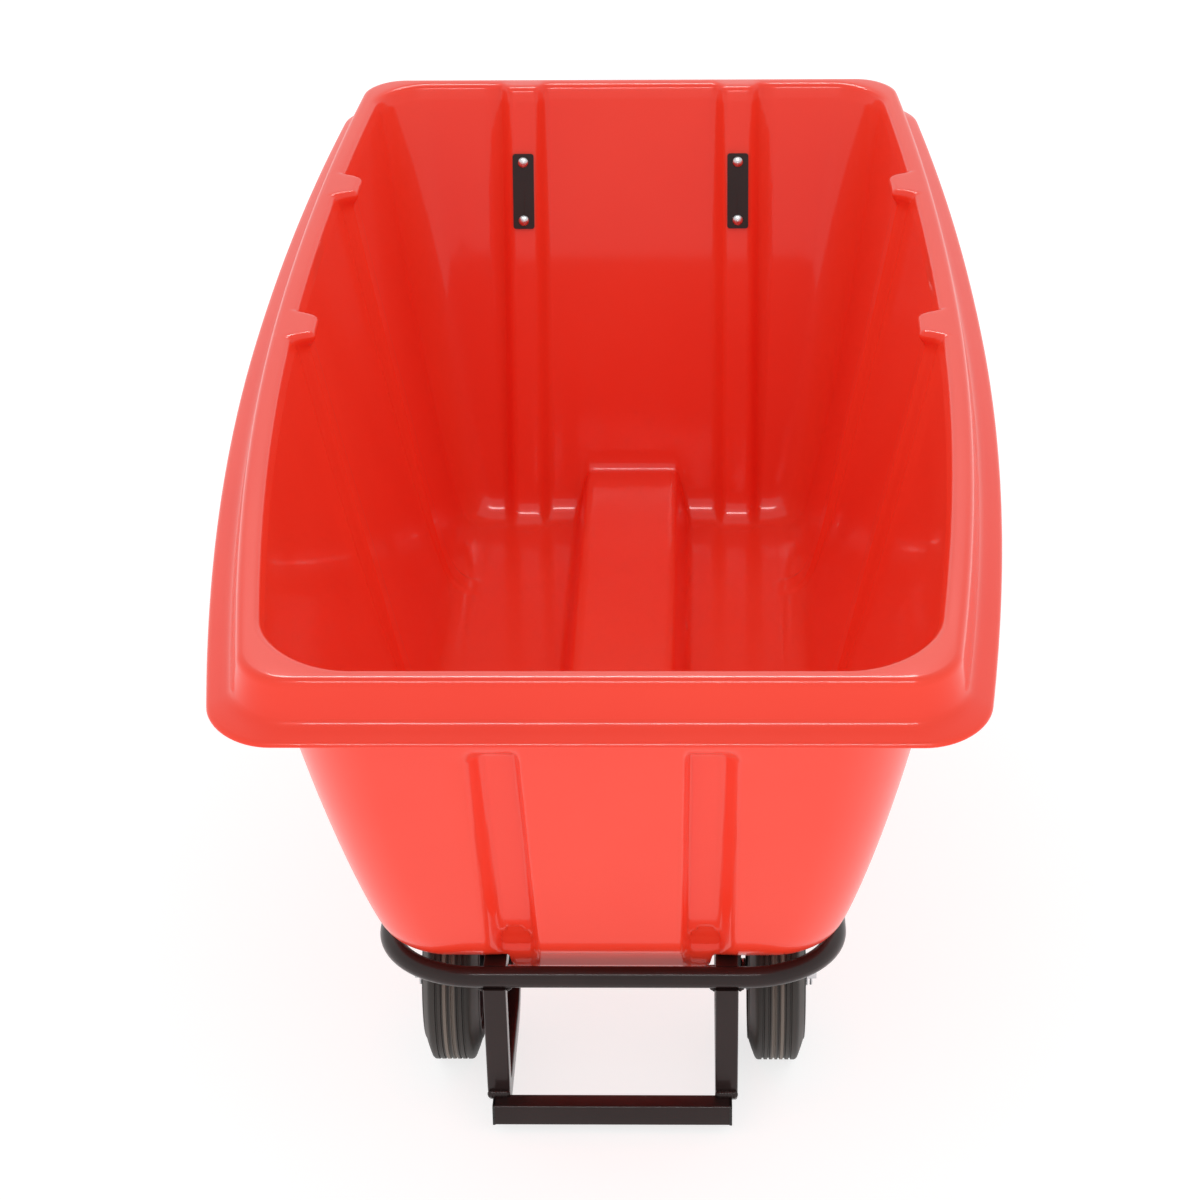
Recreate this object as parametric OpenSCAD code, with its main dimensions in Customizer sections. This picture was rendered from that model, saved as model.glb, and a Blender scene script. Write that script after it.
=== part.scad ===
// Poly tilt truck: a moulded tub bolted on a tubular steel frame with two fixed wheels near the
// dumping end, two swivel casters under the handle end and a nose bar to tip it over.
// Frame: +Z up, the dumping end towards -Y, the handle towards +Y, origin on the ground in the
// middle of the overall length. All sizes in millimetres.

/* [Tub] */
// Length of the rim over its outer top edge
rim_length = 1645; // [1400:5:2000]
// Width of the rim over its outer top edge, at the widest place
rim_width = 822; // [700:2:960]
// How much narrower each side of the rim is at the dumping end
front_taper = 64; // [20:2:90]
// How much narrower each side of the rim is at the handle end
rear_taper = 37; // [10:1:60]
// Height of the rim above the ground at the dumping end
rim_front_height = 694; // [600:2:820]
// Height of the rim above the ground at the handle end
rim_rear_height = 841; // [720:2:980]
// Width of the flat floor inside
floor_width = 482; // [440:2:560]
// How far the dumping end wall leans out, floor to rim
front_lean = 243; // [160:1:300]
// How far the handle end wall leans out, floor to rim
rear_lean = 121; // [60:1:180]
// Wall thickness
wall = 6; // [5:0.5:8]
// Width of the flat ledge of the rim
ledge = 26; // [20:1:36]
// How far the skirt of the rim flares out
flare = 32; // [20:1:40]
// How far the skirt hangs down
skirt_drop = 54; // [35:1:70]
// Corner radius of the inside of the tub at the rim
corner_r = 100; // [80:1:115]
// Corner radius of the outside of the rim
rim_r = 55; // [45:1:70]
// Width of the raised tunnel along the floor
tunnel_width = 160; // [110:2:180]
// Height of the raised tunnel
tunnel_height = 70; // [30:1:90]
// Width of the stiffening ribs
rib_width = 58; // [52:1:66]
// Depth of the ribs on the handle end wall
rib_depth = 18; // [14:1:24]
// Spacing of the ribs on the handle end wall
rear_rib_spacing = 307; // [290:1:330]
// Spacing of the two channels in the dumping end wall
channel_spacing = 213; // [180:1:240]
// Depth of the channels in the dumping end wall
channel_depth = 12; // [8:1:18]
// How far the tabs of the rim reach inward
tab_out = 26; // [16:1:32]

/* [Frame] */
// Diameter of the round frame tube
tube_d = 24; // [20:1:28]
// Wall of the frame tubes
tube_wall = 2; // [1.5:0.5:3]
// Width over the side rails
rail_width = 529; // [500:1:560]
// Outer radius of the bends at the dumping end
loop_r = 114; // [80:1:160]
// Size of the square tube of the legs, bar and stringers
square = 25.4; // [22:0.2:30]
// Height of the centre of the rails above the ground
rail_height = 200; // [196:1:215]
// Gap between the nose bar and the ground
bar_gap = 12; // [8:1:30]
// Length of the nose bar
bar_length = 270; // [250:1:290]
// Spacing of the two legs
leg_spacing = 257.4; // [240:0.2:266]
// Radius of the front bend of a leg, on its centre line
leg_bend = 32; // [26:1:40]
// Length of the straight run of a leg along the ground
leg_run = 130; // [90:1:150]

/* [Wheels] */
// Diameter of the two fixed wheels
wheel_d = 203.2; // [180:0.2:204]
// Width of a fixed wheel
wheel_width = 66; // [54:1:70]
// Track of the fixed wheels
track = 374; // [366:1:380]
// Diameter of the axle
axle_d = 16; // [12:0.5:20]
// Diameter of a caster wheel
caster_d = 152.4; // [120:0.2:154]
// Width of a caster wheel
caster_width = 50; // [38:1:56]
// How far a caster wheel trails its swivel
caster_trail = 38; // [25:1:50]
// Spacing of the two casters
caster_spacing = 370; // [300:1:390]

/* [Handle] */
// Diameter of the handle tube
handle_d = 25; // [20:1:32]
// How far the handle stands out beyond the rim's skirt
handle_reach = 71; // [50:1:120]
// Height of the handle's fixing plates above the ground
handle_height = 692; // [600:1:710]
// Width of a fixing plate
plate_width = 30; // [24:1:34]
// Length of a fixing plate
plate_length = 107; // [96:1:120]
// Distance between the two bolts of a plate
plate_pitch = 83; // [70:1:88]

/* [Hidden] */
$fn = 48;
eps = 0.01;
fit = 0.05;              // running clearance of a shaft, per side
slack = 0.5;             // clearance of a bolt in its hole, per side
left = -1;
right = 1;

function sq(v) = v * v;

// where the tub stands along Y
overall = rim_length + 2 * flare + handle_reach;
rim_y0 = -overall / 2 + flare;
rim_y1 = rim_y0 + rim_length;
rail_top = rail_height + tube_d / 2;
floor_z = rail_top + wall;
floor_y0 = rim_y0 + ledge + front_lean;
floor_y1 = rim_y1 - ledge - rear_lean;
rear_tilt = atan(rear_lean / (rim_rear_height - floor_z));
front_tilt = atan(front_lean / (rim_front_height - floor_z));

// steel frame
bar_y = floor_y0 - 24;               // front face of the nose bar
leg_x = leg_spacing / 2;
leg_z = bar_gap + square / 2;        // centre of a leg's run along the ground
leg_lean = 8;                        // degrees that the front arm of a leg leans forward
leg_tail_bend = 72;                  // radius of the rear bend of a leg
leg_tail_angle = 60;                 // degrees that its rear arm rises
leg_wall = 2;
leg_outer = leg_bend + square / 2;
leg_y0 = bar_y + square + sqrt(sq(leg_outer) - sq(leg_bend - square / 2));   // start of the run
leg_y1 = leg_y0 + leg_run;
arm_z = leg_z + leg_bend * (1 - sin(leg_lean));
arm_l = (rail_height - arm_z) / cos(leg_lean);
loop_y = leg_y0 - leg_bend * cos(leg_lean) - arm_l * sin(leg_lean);
rail_x = (rail_width - tube_d) / 2;
rail_y1 = floor_y1 - 44;
bend_r = loop_r - tube_d / 2;
string_z = rail_top - square / 2;
under_z = rail_top - square;         // underside of the stringers and cross tubes
middle_y = bar_y + 690;
rear_tube_y = rail_y1 - 20;
axle_y = bar_y + 183;
axle_z = wheel_d / 2;
hanger_t = 5;
hanger_x = leg_x + square / 2;       // inner face of a hanger
plug_t = 3;

// casters
caster_r = caster_d / 2;
caster_x = caster_spacing / 2;
caster_y = rail_y1 - 118;
caster_tube_out = 60;                // cross tubes in front of and behind a caster
caster_pitch_x = 80;
caster_pitch_y = 60;
caster_bolt_d = 8;
mount_t = 5;
caster_plate_t = 5;
mount_z = under_z - mount_t;
caster_plate_z = mount_z - caster_plate_t;
race_h = 12;
fork_t = 5;
fork_top = caster_plate_z - race_h;
fork_gap = caster_width + 3;
kingpin_d = 14;
caster_axle_d = 12;

// handle: foot plates outside, backing plates inside, both lying on the wall of a rear rib
rear_rib_x = rear_rib_spacing / 2;
foot_t = 5;
backing_t = 3;
bolt_d = 6.35;
head_d = 15;
up_wall = (handle_height - floor_z) / cos(rear_tilt);
grip_t = 3;
grip_l = 180;
handle_y = overall / 2 - handle_d / 2 - grip_t;
handle_bend = 55;                    // radius of the handle's bends, on the centre line

// bolts that hold the tub: two through the stringers, two through the middle cross tube
tub_bolt_at = [[leg_x, bar_y + 110], [180, middle_y]];
tub_bolt_d = 8;

function mix(a, b, s) = a + (b - a) * s;
// half width of the rim's outer top edge at y
function rim_half(y) = rim_width / 2 - (y < 0 ? front_taper * sq(y / rim_y0) : rear_taper * sq(y / rim_y1));
// height of the rim at y
function rim_z(y) = mix(rim_front_height, rim_rear_height, (y - rim_y0) / rim_length);
// the sides bulge: most of their width is gained low down
function swell(s) = pow(max(s, 0), 0.78);
// inner half width at share s of the height
function inner_half(y, s) = mix(floor_width / 2, rim_half(y) - ledge, swell(s));
function end_y0(s) = mix(floor_y0, rim_y0 + ledge, s);
function end_y1(s) = mix(floor_y1, rim_y1 - ledge, s);
function inner_r(s) = corner_r * mix(0.62, 1, s);
function level_z(y, s) = mix(floor_z, rim_z(y), s);

channel_x = channel_spacing / 2;

// closed outline of the tub at share s of its height, pushed out by o, lifted by up, with corners of radius r
function outline(s, o, up, r = 0) =
    let (y0 = end_y0(s) - o, y1 = end_y1(s) + o, b = inner_half(0, s) + o,
        rf = r > 0 ? r : max(8, inner_r(s) + o), rr = r > 0 ? r : max(8, inner_r(s) * 0.7 + o),
        flat = [
            for (a = [0:15:90]) [b - rr + rr * cos(a), y1 - rr + rr * sin(a)],
            for (k = [1:3]) [(b - rr) * (1 - k / 2), y1],
            for (a = [90:15:180]) [-b + rr + rr * cos(a), y1 - rr + rr * sin(a)],
            for (k = [1:7]) [-b, mix(y1 - rr, y0 + rf, k / 8)],
            for (a = [180:15:270]) [-b + rf + rf * cos(a), y0 + rf + rf * sin(a)],
            for (k = [1:3]) [(b - rf) * (k / 2 - 1), y0],
            for (a = [270:15:360]) [b - rf + rf * cos(a), y0 + rf + rf * sin(a)],
            for (k = [1:7]) [b, mix(y0 + rf, y1 - rr, k / 8)]])
    [for (p = flat) let (w = (inner_half(p.y, s) + o) / b) [p.x * w, p.y, level_z(p.y, s) + up]];

// rings from the outer bottom up, over the rim and down to the inner floor
rings = [
    outline(0, -24, -wall), outline(0, wall - 7, 7 - wall), outline(0.04, wall, 0),
    for (s = [0.15:0.17:0.83]) outline(s, wall, 0),
    outline(1, wall, -wall - 8), outline(1, wall + 4, -wall),
    outline(1, ledge - wall, -wall, rim_r), outline(1, ledge + 4, 8 - skirt_drop, rim_r + 6),
    outline(1, ledge + flare - 2, -skirt_drop, rim_r + flare / 2), outline(1, ledge + flare, 3 - skirt_drop, rim_r + flare / 2),
    outline(1, ledge + flare * 0.42, 12 - skirt_drop, rim_r + 8), outline(1, ledge + flare * 0.3, 18 - skirt_drop, rim_r + 4),
    outline(1, ledge, -8, rim_r), outline(1, ledge - 2, -2, rim_r), outline(1, ledge - 7, 0, rim_r),
    outline(1, ledge * 0.35, 0), outline(1, 2, -3), outline(0.985, 0, 0),
    for (s = [0.83:-0.17:0.15]) outline(s, 0, 0),
    outline(0.05, -1, 0), outline(0.012, -9, 0), outline(0, -30, 0)];

// a shell closed by a fan at its two ends
module shell(rings) {
    n = len(rings[0]);
    m = len(rings);
    centre = [for (k = [0, m - 1]) [0, (floor_y0 + floor_y1) / 2, rings[k][0].z]];
    polyhedron(
        points = concat([for (r = rings) each r], centre),
        faces = [
            for (k = [0:m - 2], i = [0:n - 1]) let (j = (i + 1) % n) [k * n + i, k * n + n + j, k * n + j],
            for (k = [0:m - 2], i = [0:n - 1]) let (j = (i + 1) % n) [k * n + i, k * n + n + i, k * n + n + j],
            for (i = [0:n - 1]) [m * n, i, (i + 1) % n],
            for (i = [0:n - 1]) [m * n + 1, (m - 1) * n + (i + 1) % n, (m - 1) * n + i]]);
}

// frame of the handle end wall: x across, y up the wall, z inward, origin at the foot of its inner face
module on_rear_wall(x, up) {
    translate([x, floor_y1, floor_z])
        rotate([90 - rear_tilt, 0, 0])
            translate([0, up, 0]) children();
}

// frame of the dumping end wall: the same, with z outward
module on_front_wall(x, up) {
    translate([x, floor_y0, floor_z])
        rotate([90 + front_tilt, 0, 0])
            translate([0, up, wall]) children();
}

// bar with sloping sides between two heights, its face at depth d
module rib_bar(w, d, low, high, from) {
    hull()
        for (u = [low, high]) {
            translate([-w / 2, u, from]) cube([w, 1, 1]);
            translate([-w / 2 + 6, u, d - 1]) cube([w - 12, 1, 1]);
        }
}

rear_rib_top = (rim_rear_height - floor_z) / cos(rear_tilt);
channel_top = (rim_front_height - skirt_drop - 40 - floor_z) / cos(front_tilt);
side_rib_y = [rim_y0 + 815, rim_y0 + 1252];

// one rib of a side wall, from the floor up to the rim, as two straight stretches
module side_rib(y, grow, out) {
    w = rib_width / 2 + grow;
    levels = [0.06, 0.5, 1];
    depth = [8, 14, tab_out];
    for (k = [0:1])
        hull()
            for (j = [k, k + 1]) {
                half = inner_half(y, levels[j]);
                z = level_z(y, levels[j]) + min(grow, 0);
                translate([half + out, y - w, z - 1]) cube([0.5, 2 * w, 1]);
                translate([half - depth[j] - grow, y - w + 8, z - 1]) cube([1, 2 * w - 16, 1]);
            }
}

module rear_holes() {
    for (x = [-rear_rib_x, rear_rib_x], u = [-plate_pitch / 2, plate_pitch / 2])
        on_rear_wall(x, up_wall + u)
            translate([0, 0, -20]) cylinder(d = bolt_d + 2 * slack, h = 60);
}

module tub_holes() {
    for (x = [-1, 1], p = tub_bolt_at)
        translate([x * p.x, p.y, under_z - 5]) cylinder(d = tub_bolt_d + 2 * slack, h = square + wall + 20);
}

module tub() color([0.93, 0.2, 0.14]) difference() {
    union() {
        shell(rings);
        for (x = [-rear_rib_x, rear_rib_x])
            on_rear_wall(x, 0) rib_bar(rib_width, rib_depth, 0, rear_rib_top - 5, -wall / 2);
        for (x = [-channel_x, channel_x])
            on_front_wall(x, 0) rib_bar(rib_width, -wall - channel_depth, 4, channel_top + wall, -wall / 2);
        for (m = [0, 1], y = side_rib_y) mirror([m, 0, 0]) side_rib(y, 0, 1);
        tunnel(tunnel_width, tunnel_height, 0);
    }
    for (x = [-rear_rib_x, rear_rib_x])
        on_rear_wall(x, 0) rib_bar(rib_width - 2 * wall, rib_depth - wall, 8, rear_rib_top - 12, -wall - 8);
    for (x = [-channel_x, channel_x])
        on_front_wall(x, 0) rib_bar(rib_width - 2 * wall, -channel_depth, 12, channel_top, 8);
    for (m = [0, 1], y = side_rib_y) mirror([m, 0, 0]) side_rib(y, -wall, wall + 4);
    tunnel(tunnel_width - 2 * wall, tunnel_height - wall, 1);
    rear_holes();
    tub_holes();
}

// raised tunnel of the floor, or with below = 1 the hollow under it
module tunnel(w, h, below) {
    y0 = floor_y0 + 20 + below * wall;
    y1 = floor_y1 + tunnel_height * tan(rear_tilt) - below * wall;
    hull() {
        translate([-w / 2, y0, floor_z - wall / 2 - below * wall]) cube([w, floor_y1 - y0 - below * wall, 1]);
        translate([-w / 2 + 8, y0 + 16, floor_z + h - 1]) cube([w - 16, y1 - y0 - 18, 1]);
    }
}

// steel bar of square section along X from x0 to x1, solid or hollow
module square_x(x0, x1, y, z) {
    difference() {
        translate([x0, y - square / 2, z - square / 2]) cube([x1 - x0, square, square]);
        translate([x0 - 1, y - square / 2 + tube_wall, z - square / 2 + tube_wall])
            cube([x1 - x0 + 2, square - 2 * tube_wall, square - 2 * tube_wall]);
    }
}

// the bent rail: two sides and the loop round the dumping end
module rail_path(d) {
    for (m = [0, 1]) mirror([m, 0, 0]) {
        translate([rail_x, loop_y + bend_r, rail_height])
            rotate([-90, 0, 0]) cylinder(d = d, h = rail_y1 - loop_y - bend_r);
        translate([rail_x - bend_r, loop_y + bend_r, rail_height])
            rotate([0, 0, -90]) rotate_extrude(angle = 90) translate([bend_r, 0]) circle(d = d);
    }
    translate([bend_r - rail_x, loop_y, rail_height])
        rotate([0, 90, 0]) cylinder(d = d, h = 2 * (rail_x - bend_r));
}

steel = [0.13, 0.11, 0.11];
module frame_rail() color(steel) difference() {
    rail_path(tube_d);
    rail_path(tube_d - 2 * tube_wall);
}

module rail_rods() {
    for (x = [-rail_x, rail_x])
        translate([x, loop_y + bend_r, rail_height])
            rotate([-90, 0, 0]) cylinder(d = tube_d, h = rail_y1 - loop_y - bend_r + 40);
}

module rear_rail_tube() color(steel) difference() {
    translate([-rail_x, rear_tube_y, rail_height]) rotate([0, 90, 0]) cylinder(d = tube_d, h = 2 * rail_x);
    translate([-rail_x - 1, rear_tube_y, rail_height])
        rotate([0, 90, 0]) cylinder(d = tube_d - 2 * tube_wall, h = 2 * rail_x + 2);
    rail_rods();
}

module cross_tube(y) color(steel) difference() {
    square_x(-rail_x, rail_x, y, string_z);
    rail_rods();
}

module front_caster_tube() cross_tube(caster_y - caster_tube_out);
module rear_caster_tube() cross_tube(caster_y + caster_tube_out);
module middle_cross_tube() difference() {
    cross_tube(middle_y);
    tub_holes();
}

module stringer(side) color(steel) difference() {
    y1 = middle_y - square / 2;
    translate([side * leg_x - square / 2, loop_y, under_z]) cube([square, y1 - loop_y, square]);
    translate([side * leg_x - square / 2 + tube_wall, loop_y - 1, under_z + tube_wall])
        cube([square - 2 * tube_wall, y1 - loop_y + 2, square - 2 * tube_wall]);
    loop_rod();
    tub_holes();
}
module stringer_left() stringer(left);
module stringer_right() stringer(right);

// the straight front of the loop, solid
module loop_rod() {
    translate([-rail_x, loop_y, rail_height]) rotate([0, 90, 0]) cylinder(d = tube_d, h = 2 * rail_x);
}

module rail_plugs() color([0.08, 0.08, 0.08])
    for (x = [-rail_x, rail_x])
        translate([x, rail_y1, rail_height]) rotate([-90, 0, 0]) {
            cylinder(d = tube_d, h = plug_t);
            translate([0, 0, -12]) cylinder(d = tube_d - 2 * tube_wall, h = 12 + plug_t);
        }

// one edge of a leg's side profile, o outside its centre line, as [y, z] points
function leg_edge(o) =
    let (front = [leg_y0, leg_z + leg_bend], back = [leg_y1, leg_z + leg_tail_bend],
        rf = leg_bend + o, rb = leg_tail_bend + o, low = 180 + leg_lean, high = 270 + leg_tail_angle)
    concat(
        [front + rf * [cos(low), sin(low)] + arm_l * [-sin(leg_lean), cos(leg_lean)]],
        [for (k = [0:12]) let (a = mix(low, 270, k / 12)) front + rf * [cos(a), sin(a)]],
        [for (k = [0:10]) let (a = mix(270, high, k / 10)) back + rb * [cos(a), sin(a)]],
        [back + rb * [cos(high), sin(high)] + rail_height * [-sin(high), cos(high)]]);

// a leg of side s along its whole centre line
module leg_path(s) {
    inner = leg_edge(-s / 2);
    translate([-s / 2, 0, 0]) rotate([90, 0, 90]) linear_extrude(s)
        polygon(concat(leg_edge(s / 2), [for (k = [len(inner) - 1:-1:0]) inner[k]]));
}

module leg_solid(side) difference() {
    translate([side * leg_x, 0, 0]) leg_path(square);
    loop_rod();
    translate([side * leg_x - square, loop_y, under_z]) cube([2 * square, 900, 200]);
    translate([side * leg_x - square, loop_y - 100, rail_height - 5]) cube([2 * square, 200, 200]);
}

module leg(side) color(steel) difference() {
    leg_solid(side);
    translate([side * leg_x, 0, 0]) leg_path(square - 2 * leg_wall);
}
module leg_left() leg(left);
module leg_right() leg(right);

module nose_bar() color(steel)
    square_x(plug_t - bar_length / 2, bar_length / 2 - plug_t, bar_y + square / 2, leg_z);

module nose_bar_plugs() color([0.08, 0.08, 0.08])
    for (m = [0, 1]) mirror([m, 0, 0]) {
        translate([bar_length / 2 - plug_t, bar_y, bar_gap]) cube([plug_t, square, square]);
        translate([bar_length / 2 - 12, bar_y + tube_wall, bar_gap + tube_wall])
            cube([12, square - 2 * tube_wall, square - 2 * tube_wall]);
    }

// beads where the legs meet the nose bar and the loop
module frame_welds() color([0.2, 0.18, 0.18]) {
    bead = 4;
    for (side = [left, right]) {
        difference() {
            translate([side * leg_x - square * 0.45, bar_y + square, bar_gap + square])
                rotate([0, 90, 0]) cylinder(r = bead, h = square * 0.9);
            leg_solid(side);
            translate([-bar_length, bar_y, bar_gap]) cube([2 * bar_length, square, square]);
        }
        for (x = [-1, 1])
            difference() {
                translate([side * leg_x + x * square / 2, loop_y - 9, rail_height - tube_d / 2])
                    rotate([-90, 0, 0]) cylinder(r = bead, h = 18);
                leg_solid(side);
                loop_rod();
                translate([side * leg_x - square / 2, loop_y - 50, under_z]) cube([square, 100, square]);
            }
    }
}

// flat hanger from a stringer down to the axle
module axle_hanger(side) color(steel) difference() {
    translate([side > 0 ? hanger_x : -hanger_x - hanger_t, 0, 0]) rotate([90, 0, 90])
        linear_extrude(hanger_t) union() {
            polygon([[axle_y - 42, rail_top - 4], [axle_y - 17, axle_z], [axle_y + 17, axle_z],
                [axle_y + 42, rail_top - 4]]);
            translate([axle_y, axle_z]) circle(r = 17);
        }
    axle_rod();
}
module axle_hanger_left() axle_hanger(left);
module axle_hanger_right() axle_hanger(right);

hub_gap = 5.6;                       // room for the washer between a hanger and its hub
hub_half = track / 2 - hanger_x - hanger_t - hub_gap;
hub_in = track / 2 - hub_half;       // inner end of a hub
hub_out = track / 2 + hub_half;
washer_t = 2.5;
play = 0.3;                          // end play of a wheel on its axle
cotter_x = hub_out + play + washer_t + 4;
cotter_d = 3.2;
axle_half = cotter_x + 6;

module axle_rod() {
    translate([-axle_half, axle_y, axle_z]) rotate([0, 90, 0]) cylinder(d = axle_d, h = 2 * axle_half);
}

module axle() color([0.7, 0.7, 0.72]) difference() {
    axle_rod();
    for (x = [-cotter_x, cotter_x])
        translate([x, axle_y, axle_z - axle_d]) cylinder(d = cotter_d, h = 2 * axle_d);
}

module axle_ring(x0, x1) {
    translate([x0, axle_y, axle_z]) rotate([0, 90, 0]) difference() {
        cylinder(d = axle_d * 2, h = x1 - x0);
        translate([0, 0, -1]) cylinder(d = axle_d, h = x1 - x0 + 2);
    }
}
module axle_washers() color([0.7, 0.7, 0.72])
    for (m = [0, 1]) mirror([m, 0, 0]) {
        axle_ring(hanger_x + hanger_t, hub_in - play);
        axle_ring(hub_out + play, hub_out + play + washer_t);
    }

module axle_cotter_pins() color([0.75, 0.75, 0.77])
    for (x = [-cotter_x, cotter_x])
        translate([x, axle_y, axle_z]) {
            translate([0, 0, -axle_d / 2 - 9]) cylinder(d = cotter_d, h = axle_d + 11);
            translate([0, 0, axle_d / 2 + 5.5]) rotate([0, 90, 0])
                rotate_extrude() translate([cotter_d * 1.2, 0]) circle(d = cotter_d);
        }

// the fixed wheels: a tyre with sloping shoulders on a core turning on two bearings
tyre_in = wheel_d / 2 - 34;
bearing_d = axle_d + 12;
bearing_l = 20;
crown = wheel_width * 0.35;          // half width of the tread's flat crown
module on_axle(side) {
    translate([side * track / 2, axle_y, axle_z]) rotate([0, 90, 0]) children();
}

module tyre(side) color([0.15, 0.14, 0.13]) on_axle(side) {
    r = wheel_d / 2;
    h = wheel_width / 2;
    rotate_extrude($fn = 96) polygon([[tyre_in, -h + 4], [tyre_in + 6, -h], [r - 26, -h], [r - 24, -h + 2],
        [r - 4, -crown - 2], [r - 1, -crown], [r, -crown + 3], [r, crown - 3], [r - 1, crown],
        [r - 4, crown + 2], [r - 24, h - 2], [r - 26, h], [tyre_in + 6, h], [tyre_in, h - 4]]);
}
module tyre_left() tyre(left);
module tyre_right() tyre(right);

module wheel_core(side) color([0.3, 0.3, 0.3]) on_axle(side) {
    h = wheel_width / 2;
    difference() {
        rotate_extrude($fn = 96) polygon([[0, -hub_half], [20, -hub_half], [24, -h + 8], [tyre_in - 8, -h + 12],
            [tyre_in - 8, -h + 4], [tyre_in, -h + 4], [tyre_in, h - 4], [tyre_in - 8, h - 4],
            [tyre_in - 8, h - 12], [24, h - 8], [20, hub_half], [0, hub_half]]);
        translate([0, 0, -hub_half - 1]) cylinder(d = axle_d + 3, h = 2 * hub_half + 2);
        for (z = [-hub_half - 1, hub_half - bearing_l])
            translate([0, 0, z]) cylinder(d = bearing_d, h = bearing_l + 1);
    }
}
module wheel_core_left() wheel_core(left);
module wheel_core_right() wheel_core(right);

module wheel_bearings(side) color([0.6, 0.6, 0.62]) on_axle(side)
    for (z = [-hub_half, hub_half - bearing_l])
        translate([0, 0, z]) difference() {
            cylinder(d = bearing_d, h = bearing_l);
            translate([0, 0, -1]) cylinder(d = axle_d + 2 * fit, h = bearing_l + 2);
        }
module wheel_bearings_left() wheel_bearings(left);
module wheel_bearings_right() wheel_bearings(right);

// casters
module at_caster(side) translate([side * caster_x, caster_y, 0]) children();
module caster_bolt_places() {
    for (side = [left, right], x = [-1, 1], y = [-1, 1])
        translate([side * caster_x + x * caster_pitch_x / 2, caster_y + y * caster_pitch_y / 2, 0]) children();
}
module caster_bolt_holes() caster_bolt_places()
    translate([0, 0, caster_plate_z - 10]) cylinder(d = caster_bolt_d + 2 * slack, h = 40);

module caster_mount(side) color(steel) difference() {
    at_caster(side) translate([-55, -caster_tube_out - square / 2, mount_z])
        cube([110, 2 * caster_tube_out + square, mount_t]);
    caster_bolt_holes();
}
module caster_mount_left() caster_mount(left);
module caster_mount_right() caster_mount(right);

module caster_plate(side) color([0.72, 0.73, 0.75]) difference() {
    at_caster(side) translate([-52, -42, caster_plate_z]) cube([104, 84, caster_plate_t]);
    caster_bolt_holes();
}
module caster_plate_left() caster_plate(left);
module caster_plate_right() caster_plate(right);

module hex(af, h) cylinder(d = af / cos(30), h = h, $fn = 6);

module caster_bolts() color([0.75, 0.75, 0.77]) caster_bolt_places() {
    translate([0, 0, caster_plate_z - 5.3]) hex(13, 5.3);
    translate([0, 0, caster_plate_z - 2]) cylinder(d = caster_bolt_d, h = 24);
}
module caster_nuts() color([0.75, 0.75, 0.77]) caster_bolt_places()
    translate([0, 0, under_z]) difference() {
        hex(13, 6.5);
        translate([0, 0, -1]) cylinder(d = caster_bolt_d, h = 9);
    }

// bearing ring and kingpin, fixed under the top plate; the fork turns on the pin
module caster_race(side) color([0.72, 0.73, 0.75]) at_caster(side) {
    translate([0, 0, fork_top + play]) cylinder(r = 29, h = race_h - play);
    translate([0, 0, fork_top - fork_t - 1]) cylinder(d = kingpin_d, h = fork_t + 4);
    translate([0, 0, fork_top - fork_t - play - 4]) cylinder(d = kingpin_d + 9, h = 4);
}
module caster_race_left() caster_race(left);
module caster_race_right() caster_race(right);

module caster_fork(side) color([0.72, 0.73, 0.75]) at_caster(side) difference() {
    w = fork_gap / 2 + fork_t;
    union() {
        translate([-w, -28, fork_top - fork_t]) cube([2 * w, 62, fork_t]);
        for (x = [-w, fork_gap / 2])
            translate([x, 0, 0]) rotate([90, 0, 90]) linear_extrude(fork_t) union() {
                polygon([[-28, fork_top], [caster_trail - 17, caster_r], [caster_trail + 17, caster_r],
                    [34, fork_top]]);
                translate([caster_trail, caster_r]) circle(r = 17);
            }
    }
    translate([0, 0, fork_top - 20]) cylinder(d = kingpin_d + 2 * fit, h = 40);
    translate([-w - 5, caster_trail, caster_r]) rotate([0, 90, 0]) cylinder(d = caster_axle_d, h = 2 * w + 10);
}
module caster_fork_left() caster_fork(left);
module caster_fork_right() caster_fork(right);

module at_caster_wheel(side) at_caster(side)
    translate([0, caster_trail, caster_r]) rotate([0, 90, 0]) children();

module caster_axle(side) color([0.75, 0.75, 0.77]) at_caster_wheel(side) {
    w = fork_gap / 2 + fork_t;
    translate([0, 0, -w - 1]) cylinder(d = caster_axle_d, h = 2 * w + 12);
    translate([0, 0, -w - 7]) hex(18, 7);
    translate([0, 0, w]) hex(18, 9);
}
module caster_axle_left() caster_axle(left);
module caster_axle_right() caster_axle(right);

caster_core_r = caster_r - 15;
module caster_tread(side) color([0.16, 0.16, 0.16]) at_caster_wheel(side) {
    h = caster_width / 2;
    rotate_extrude($fn = 96) polygon([[caster_core_r, -h + 2], [caster_r - 8, -h], [caster_r - 3, -h + 4],
        [caster_r, -h + 10], [caster_r, h - 10], [caster_r - 3, h - 4], [caster_r - 8, h], [caster_core_r, h - 2]]);
}
module caster_tread_left() caster_tread(left);
module caster_tread_right() caster_tread(right);

module caster_core(side) color([0.5, 0.5, 0.5]) at_caster_wheel(side) {
    h = caster_width / 2;
    hub = fork_gap / 2 - play;
    difference() {
        rotate_extrude($fn = 96) polygon([[0, -hub], [15, -hub], [17, -h + 10], [caster_core_r - 8, -h + 12],
            [caster_core_r - 8, -h + 3], [caster_core_r, -h + 2], [caster_core_r, h - 2],
            [caster_core_r - 8, h - 3], [caster_core_r - 8, h - 12], [17, h - 10], [15, hub], [0, hub]]);
        translate([0, 0, -hub - 1]) cylinder(d = caster_axle_d + 2 * fit, h = 2 * hub + 2);
    }
}
module caster_core_left() caster_core(left);
module caster_core_right() caster_core(right);

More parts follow.
